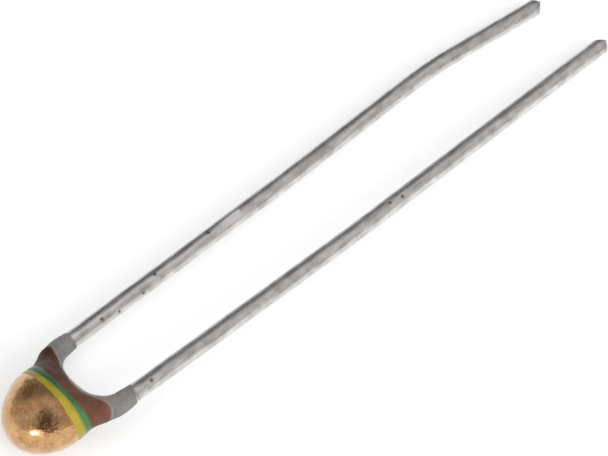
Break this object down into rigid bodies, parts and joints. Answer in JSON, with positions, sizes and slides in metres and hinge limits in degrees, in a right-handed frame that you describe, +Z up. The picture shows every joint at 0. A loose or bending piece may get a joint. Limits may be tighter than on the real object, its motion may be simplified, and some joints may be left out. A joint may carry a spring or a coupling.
{
  "type": "ntc thermistor",
  "caption": "Small bead-shaped NTC thermistor, dip coated in grey lacquer with brown, green, yellow and gold colour bands, on two tinned wire leads.",
  "frame": {"origin": "under the middle of the bounding box, on the surface that the part lies on", "axes": "+X runs along the leads from the coated body to their cut tips, +Y towards the left lead, +Z up; the part lies on its body and both lead tips"},
  "size_m": [0.0258, 0.0044, 0.0028],
  "materials": {
    "tinned_wire": "satin tin plating",
    "thermistor_ceramic": "matte",
    "silver": "satin",
    "solder": "satin",
    "grey_lacquer": "satin",
    "brown_paint": "gloss",
    "green_paint": "gloss",
    "yellow_paint": "gloss",
    "gold_paint": "metallic gloss"
  },
  "bodies": {
    "root": {"left_lead": "tinned_wire", "right_lead": "tinned_wire", "ceramic_chip": "thermistor_ceramic", "upper_electrode": "silver", "lower_electrode": "silver", "upper_solder_joint": "solder", "lower_solder_joint": "solder", "grey_lacquer_coat": "grey_lacquer", "brown_coat": "brown_paint", "green_coat": "green_paint", "yellow_coat": "yellow_paint", "gold_coat": "gold_paint"}
  },
  "joints": []
}
